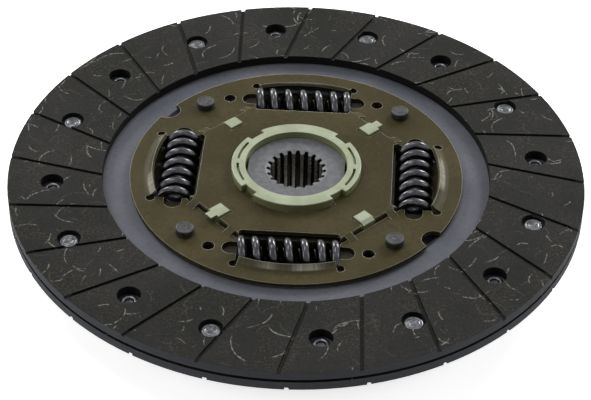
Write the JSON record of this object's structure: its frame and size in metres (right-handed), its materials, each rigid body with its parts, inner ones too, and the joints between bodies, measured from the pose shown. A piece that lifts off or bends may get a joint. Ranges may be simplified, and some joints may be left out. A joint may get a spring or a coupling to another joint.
{
  "type": "clutch disc",
  "caption": "Round dry clutch disc with two grooved friction rings, a coil-spring torsion damper and a splined hub.",
  "frame": {"origin": "centre of the hub's rear end, on the axis of the spline", "axes": "+Z along the spline's axis, from the hub's long rear end to the side with the raised spring windows; the four spring windows lie on +X, -X, +Y and -Y"},
  "size_m": [0.215, 0.215, 0.0289],
  "materials": {
    "friction_facing": "matt woven friction composite, ground flat",
    "rivet": "bright plated steel",
    "cushion_steel": "blued spring steel",
    "cover_steel": "dark olive hardened and oiled sheet",
    "stop_pin": "satin steel",
    "hub_steel": "fine machined, phosphated grey",
    "flange_steel": "dark oiled, hardened sheet",
    "spring_steel": "oiled dark spring wire",
    "moulded_bush": "satin glass-filled plastic, cream green",
    "friction_ring": "matt friction material",
    "washer_steel": "cold rolled steel"
  },
  "bodies": {
    "disc": {"front_facing": "friction_facing", "rear_facing": "friction_facing", "front_facing_rivets": "rivet", "rear_facing_rivets": "rivet", "cushion_disc": "cushion_steel", "front_cover_plate": "cover_steel", "rear_cover_plate": "cover_steel", "stop_pin_1": "stop_pin", "stop_pin_2": "stop_pin", "stop_pin_3": "stop_pin", "stop_pin_4": "stop_pin", "damper_spring_1": "spring_steel", "damper_spring_2": "spring_steel", "damper_spring_3": "spring_steel", "damper_spring_4": "spring_steel", "inner_spring_1": "spring_steel", "inner_spring_2": "spring_steel", "front_friction_bush": "moulded_bush", "friction_washer": "friction_ring", "drive_washer": "washer_steel", "wave_washer": "washer_steel", "rear_centring_bush": "moulded_bush"},
    "hub": {"splined_hub": "hub_steel", "hub_flange": "flange_steel"}
  },
  "joints": [
    {"name": "hub_twist", "type": "hinge", "parent": "disc", "child": "hub", "pos_m": [0, 0, 0.022], "axis": [0, 0, 1], "range_deg": [-8, 8], "stiffness_Nm_per_rad": 20, "deforming": ["damper_spring_1", "damper_spring_2", "damper_spring_3", "damper_spring_4", "inner_spring_1", "inner_spring_2"]}
  ]
}
